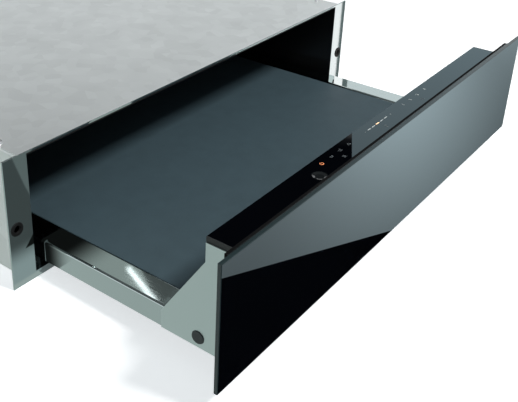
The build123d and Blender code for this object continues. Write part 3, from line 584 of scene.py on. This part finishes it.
def glow_material(name, colour, strength, fade=None):
    """An even glow. fade(tree, strength) may give an output that dims it from place to place."""
    material = bpy.data.materials.new(name)
    material.use_nodes = True
    tree = material.node_tree
    tree.nodes.remove(tree.nodes["Principled BSDF"])
    glow = tree.nodes.new("ShaderNodeEmission")
    glow.inputs["Color"].default_value = (*colour, 1.0)
    glow.inputs["Strength"].default_value = strength
    if fade is not None:
        tree.links.new(fade(tree, strength), glow.inputs["Strength"])
    tree.links.new(glow.outputs[0], tree.nodes["Material Output"].inputs["Surface"])
    return material


def place_outputs(tree):
    """The place of each point of a card, as outputs X, Y and Z."""
    apart = tree.nodes.new("ShaderNodeSeparateXYZ")
    tree.links.new(tree.nodes.new("ShaderNodeTexCoord").outputs["Object"], apart.inputs[0])
    return apart.outputs


def ramp_to(tree, value, start, end, low, high, easing="SMOOTHSTEP"):
    """Go from low to high while value goes from start to end."""
    node = tree.nodes.new("ShaderNodeMapRange")
    node.interpolation_type = easing
    for socket, amount in (("From Min", start), ("From Max", end), ("To Min", low), ("To Max", high)):
        node.inputs[socket].default_value = amount
    tree.links.new(value, node.inputs["Value"])
    return node.outputs[0]


def fade_band(centre, lean, reach, rest, near, far):
    """A band of light that leans across the floor: it fades to rest at reach to either side.

    The middle of the band is where x + lean * y is centre. The light also grows from nothing where y is
    near to its full strength where y is far.
    """

    def fade(tree, strength):
        place = place_outputs(tree)
        across = calculate(tree, "ADD", place["X"], calculate(tree, "MULTIPLY", place["Y"], lean))
        aside = calculate(tree, "ABSOLUTE", calculate(tree, "SUBTRACT", across, centre))
        band = ramp_to(tree, aside, 0.0, reach, strength, rest)
        growth = ramp_to(tree, place["Y"], far, near, 1.0, 0.0, "LINEAR")
        return calculate(tree, "MULTIPLY", band, growth)

    return fade


def fade_along(axis, start, end, least):
    """A fade along an axis, 0-2, from the share called least at start to full strength at end.

    Either of start and end may be the higher.
    """

    def fade(tree, strength):
        low, high = (least * strength, strength) if start < end else (strength, least * strength)
        return ramp_to(tree, place_outputs(tree)[axis], min(start, end), max(start, end), low, high)

    return fade


# ------------------------------------------------------------------ stage: floor and cards
# The photograph's viewpoint, found from the object's own corners in its frame of 518 x 402 pixels.
CAMERA_PLACE = Vector((-0.67662, -0.51332, 0.48350))
HEADING = radians(52.381)
TILT = radians(-26.25)
ROLL = radians(1.232)
FOCAL_PX = 826.25
CENTRE_PX = (205.0, 120.0)
PHOTO_PX = (518.0, 402.0)


def stage_plane(name, corners, material):
    data = bpy.data.meshes.new(name)
    data.from_pydata([tuple(corner) for corner in corners], [], [tuple(range(len(corners)))])
    data.materials.append(material)
    piece = bpy.data.objects.new(name, data)
    bpy.context.scene.collection.objects.link(piece)
    return piece


def card(name, corners, colour, strength, fade=None):
    """A glowing card that only reflections see."""
    piece = stage_plane(name, corners, glow_material(name, colour, strength, fade))
    piece.visible_camera = False
    piece.visible_diffuse = False
    piece.visible_shadow = False
    piece.visible_transmission = False


def mirrored(spot, facing, plane, at):
    """Where the camera's line of sight ends after it reflects off a flat face at spot.

    facing is the axis that the face is square to; the line ends on the plane where axis plane is at.
    """
    spot = Vector(spot)
    way = spot - CAMERA_PLACE
    way[facing] = -way[facing]
    return spot + way * ((at - spot[plane]) / way[plane])


FLOOR_HALF = 12.0
floor_corners = [(x * FLOOR_HALF, y * FLOOR_HALF, 0) for x, y in ((-1, -1), (1, -1), (1, 1), (-1, 1))]
stage_plane("floor", floor_corners, floor_material())

# Front glass: two cards lie before the drawer. The pale one fades away from a pool of light, and the edge
# of the black one gives the slanting border that crosses the glass from its left edge to its lower edge.
PANEL_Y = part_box("front_glass")[0].y
PALE_Z = 0.0006
BLACK_Z = 0.0010
CARD_REACH = 2.5
pool = fade_band(centre=-0.291, lean=1.503, reach=0.363, rest=0.93, near=-0.179, far=-0.35)
BORDER_LOW = (0.0062, PANEL_Y, 0.0154)
BORDER_HIGH = (-0.2975, PANEL_Y, 0.1295)
border_near = mirrored(BORDER_LOW, DEPTH, HEIGHT, BLACK_Z)
border_far = mirrored(BORDER_HIGH, DEPTH, HEIGHT, BLACK_Z)
border_way = (border_far - border_near).normalized()
border_start = border_near + border_way * ((PANEL_Y - border_near.y) / border_way.y)
border_end = border_near + border_way * CARD_REACH
pale_corners = [
    (-CARD_REACH, PANEL_Y, PALE_Z),
    (-CARD_REACH, -CARD_REACH, PALE_Z),
    (CARD_REACH, -CARD_REACH, PALE_Z),
    (CARD_REACH, PANEL_Y, PALE_Z),
]
card("card.front_pale", pale_corners, (0.74, 0.95, 1.02), 2.0, pool)
card("card.front_black", [border_start, border_end, (-CARD_REACH, PANEL_Y, BLACK_Z)], BLACK, 0.0)

# Control ledge: a pale card far to the right gives the upright border between its black and its grey part.
LEDGE_CARD_X = 2.6
LEDGE_SPOTS = [(-0.1073, -0.236), (-0.0209, -0.188), (0.300, -0.188), (0.300, -0.236)]
ledge_corners = [mirrored((x, y, LEDGE_TOP), HEIGHT, ACROSS, LEDGE_CARD_X) for x, y in LEDGE_SPOTS]
card("card.ledge", ledge_corners, (0.66, 0.90, 1.0), 0.98)

# Left rim of the drawer: small cards hang before the frame, each placed by what the rim shows of it.
RIM_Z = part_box("drawer_side_left")[1].z
RIM_CARD_Y = -0.003
LAYER = 0.0005
RIM_OUTER_X = -0.275
RIM_INNER_X = -0.225
RIM_BACK_Y = 0.0
RIM_FRONT_Y = -0.20
RIM_DARK_Y = -0.032
RIM_LIGHT_Y = -0.076
RIM_TINT = (0.90, 1.0, 0.98)
# Spots on the rim where the shade begins and where the lighter front part begins, at either edge.
SHADE_OUTER = (RIM_OUTER_X, -0.165)
SHADE_INNER = (RIM_INNER_X, -0.090)
FRONT_OUTER = (RIM_OUTER_X, -0.152)
FRONT_INNER = (RIM_INNER_X, -0.148)
STREAK = [(-0.2432, -0.0936), (-0.2392, -0.0960), (-0.2612, -0.1500), (-0.2650, -0.1464)]


def rim_card(name, spots, colour, strength, fade=None, at=RIM_CARD_Y):
    """A card for what the rim shows between spots (x, y) on it."""
    corners = [mirrored((x, y, RIM_Z), HEIGHT, DEPTH, at) for x, y in spots]
    card(name, corners, colour, strength, fade)


rim_dark, rim_light = [
    mirrored((RIM_OUTER_X, y, RIM_Z), HEIGHT, DEPTH, RIM_CARD_Y).z for y in (RIM_DARK_Y, RIM_LIGHT_Y)
]
rim_card(
    "card.rim_back",
    [(RIM_OUTER_X, RIM_BACK_Y), SHADE_OUTER, SHADE_INNER, (RIM_INNER_X, RIM_BACK_Y)],
    (0.90, 1.0, 0.95),
    0.42,
    fade_along(HEIGHT, rim_dark, rim_light, 0.02),
)
rim_card("card.rim_shade", [SHADE_INNER, SHADE_OUTER, FRONT_OUTER, FRONT_INNER], RIM_TINT, 0.105)
rim_card(
    "card.rim_front",
    [FRONT_INNER, FRONT_OUTER, (RIM_OUTER_X, RIM_FRONT_Y), (RIM_INNER_X, RIM_FRONT_Y)],
    RIM_TINT,
    0.31,
)
rim_card("card.rim_streak", STREAK, (0.98, 1.0, 1.0), 2.4, at=RIM_CARD_Y - LAYER)

# Left side: an even card on the floor is what the drawer's side and the bracket reflect.
SIDE_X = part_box("drawer_side_left")[0].x
SIDE_REACH = 0.9
SIDE_TINT = (0.90, 1.0, 0.96)
side_corners = [
    (SIDE_X, PANEL_Y, PALE_Z),
    (SIDE_X - SIDE_REACH, PANEL_Y, PALE_Z),
    (SIDE_X - SIDE_REACH, SIDE_REACH, PALE_Z),
    (SIDE_X, SIDE_REACH, PALE_Z),
]
card("card.side", side_corners, SIDE_TINT, 0.55)

# Beside the frame that side reflects the flange's front, where a card gives it a shade. The flange doesn't
# see this card, because its own card hangs nearer, and the face of the shut front stands before both.
FRAME_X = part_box("front_frame")[0].x
FRAME_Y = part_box("front_frame")[0].y
FLANGE_CARD_GAP = 0.006
FLANGE_CARD_Y = FRAME_Y - FLANGE_CARD_GAP
SHADE_Y = FLANGE_CARD_Y - LAYER
SHADE_HEIGHT = 0.050
SIDE_DARK_Y = -0.012
SIDE_LIGHT_Y = -0.046
shade_dark, shade_light = [
    mirrored((SIDE_X, y, 0.0), ACROSS, DEPTH, SHADE_Y).x for y in (SIDE_DARK_Y, SIDE_LIGHT_Y)
]
shade_corners = [
    (FRAME_X, SHADE_Y, 0.0),
    (SIDE_X, SHADE_Y, 0.0),
    (SIDE_X, SHADE_Y, SHADE_HEIGHT),
    (FRAME_X, SHADE_Y, SHADE_HEIGHT),
]
card("card.side_shade", shade_corners, SIDE_TINT, 0.53, fade_along(ACROSS, shade_dark, shade_light, 0.02))

# Flanges of the frame: narrow cards hang close before them, each placed by what the flange shows of it.
FLANGE_TOP = 0.140
FLANGE_INNER_X = 0.262
FLANGE_SPLIT_X = 0.2865
LEFT_OUTER_X = -0.300
RIGHT_OUTER_X = 0.302
FLANGE_DARK_Z = 0.050
FLANGE_LIGHT_Z = 0.022
PATCH = [(-FLANGE_INNER_X, 0.075), (-FLANGE_INNER_X, FLANGE_TOP), (-0.286, FLANGE_TOP), (-0.274, 0.105)]


def upright(first_x, last_x):
    return [(first_x, 0.0), (first_x, FLANGE_TOP), (last_x, FLANGE_TOP), (last_x, 0.0)]


def flange_card(name, spots, colour, strength, fade=None, at=FLANGE_CARD_Y):
    """A card for what a flange shows between spots (x, z) on it."""
    corners = [mirrored((x, FRAME_Y, z), DEPTH, DEPTH, at) for x, z in spots]
    card(name, corners, colour, strength, fade)


flange_drop = mirrored((FRAME_X, FRAME_Y, 0.0), DEPTH, DEPTH, FLANGE_CARD_Y).z
flange_fade = fade_along(HEIGHT, FLANGE_DARK_Z + flange_drop, FLANGE_LIGHT_Z + flange_drop, 0.2)
flange_card("card.flange_left", upright(LEFT_OUTER_X, -FLANGE_INNER_X), (0.85, 1.0, 1.0), 0.44, flange_fade)
flange_card("card.flange_patch", PATCH, (0.85, 1.0, 0.98), 0.20, at=FLANGE_CARD_Y + LAYER)
flange_card("card.flange_white", upright(FLANGE_INNER_X, FLANGE_SPLIT_X), (1.0, 0.94, 0.94), 1.5)
flange_card("card.flange_grey", upright(FLANGE_SPLIT_X, RIGHT_OUTER_X), (0.83, 1.0, 1.0), 0.20)

# Behind each hole of the frame a black disc paints the dark shade that a cabinet gives there.
HOLE_XS = {"left": -0.286, "right": 0.286}
HOLE_Z = 0.063
HOLE_RADIUS = 0.0075
HOLE_GAP = 0.0004
HOLE_BACK_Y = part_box("frame_grommets")[1].y + HOLE_GAP
hole_painted_shade = glow_material("shade.hole", BLACK, 0.0)
for side, hole_x in HOLE_XS.items():
    ring = [(x, HOLE_BACK_Y, z) for x, z in circle((hole_x, HOLE_Z), HOLE_RADIUS)]
    stage_plane(f"shade.hole_{side}", ring, hole_painted_shade)


# ------------------------------------------------------------------ world, lamps and camera
WORLD_FILL = (0.16, 0.175, 0.185)
# What polished faces reflect of the sky: elevation in degrees and colour.
SKY = [
    (0.0, (0.90, 0.93, 0.94)),
    (25.8, (0.90, 0.93, 0.94)),
    (27.0, BLACK),
    (37.0, BLACK),
    (39.0, (0.12, 0.13, 0.13)),
]


def build_world():
    """The camera sees white, polished faces reflect SKY, and WORLD_FILL gives the diffuse light."""
    world = bpy.data.worlds.new("studio")
    bpy.context.scene.world = world
    world.use_nodes = True
    tree = world.node_tree
    background = tree.nodes["Background"]
    seen, reflected = rays(tree)
    way = tree.nodes.new("ShaderNodeSeparateXYZ")
    tree.links.new(tree.nodes.new("ShaderNodeTexCoord").outputs["Generated"], way.inputs[0])
    sky = tree.nodes.new("ShaderNodeValToRGB")
    # A new ramp has two stops. Its 0 stands for straight down and its 1 for straight up.
    for _ in SKY[2:]:
        sky.color_ramp.elements.new(0.5)
    for element, (elevation, colour) in zip(sky.color_ramp.elements, SKY):
        element.position = 0.5 + 0.5 * sin(radians(elevation))
        element.color = (*colour, 1.0)
    tree.links.new(calculate(tree, "MULTIPLY_ADD", way.outputs["Z"], 0.5, 0.5), sky.inputs[0])
    lit = mix_colours(tree, reflected, WORLD_FILL, sky.outputs[0])
    tree.links.new(mix_colours(tree, seen, lit, WHITE), background.inputs["Color"])
    background.inputs["Strength"].default_value = 1.0


def lamp(name, place, target, size, power, colour):
    data = bpy.data.lights.new(name, "AREA")
    data.shape = "SQUARE"
    data.size = size
    data.energy = power
    data.color = colour
    data.specular_factor = 0.0
    piece = bpy.data.objects.new(name, data)
    bpy.context.scene.collection.objects.link(piece)
    piece.location = place
    piece.rotation_euler = (Vector(target) - Vector(place)).to_track_quat("-Z", "Y").to_euler()


def build_camera():
    forward = Vector((sin(HEADING) * cos(TILT), cos(HEADING) * cos(TILT), sin(TILT)))
    level = Vector((cos(HEADING), -sin(HEADING), 0.0))
    upward = level.cross(forward)
    right = level * cos(ROLL) + upward * sin(ROLL)
    up = upward * cos(ROLL) - level * sin(ROLL)
    width_px, height_px = PHOTO_PX
    data = bpy.data.cameras.new("camera")
    data.sensor_width = 36.0
    data.lens = FOCAL_PX / width_px * data.sensor_width
    data.shift_x = (width_px / 2 - CENTRE_PX[0]) / width_px
    data.shift_y = -(height_px / 2 - CENTRE_PX[1]) / width_px
    data.clip_start = 0.01
    data.clip_end = 100.0
    camera = bpy.data.objects.new("camera", data)
    bpy.context.scene.collection.objects.link(camera)
    turn = Matrix((right, up, -forward)).transposed()
    camera.matrix_world = Matrix.Translation(CAMERA_PLACE) @ turn.to_4x4()
    bpy.context.scene.camera = camera


build_world()
lamp(
    "key",
    place=(0.15, -1.45, 2.05),
    target=(0.0, -0.05, 0.04),
    size=0.45,
    power=48.0,
    colour=(1.0, 0.99, 0.97),
)
lamp(
    "side",
    place=(-2.2, -0.6, 1.2),
    target=(-0.2, -0.1, 0.06),
    size=1.4,
    power=10.0,
    colour=(0.95, 0.98, 1.0),
)
build_camera()
bpy.context.scene.view_settings.view_transform = "Standard"
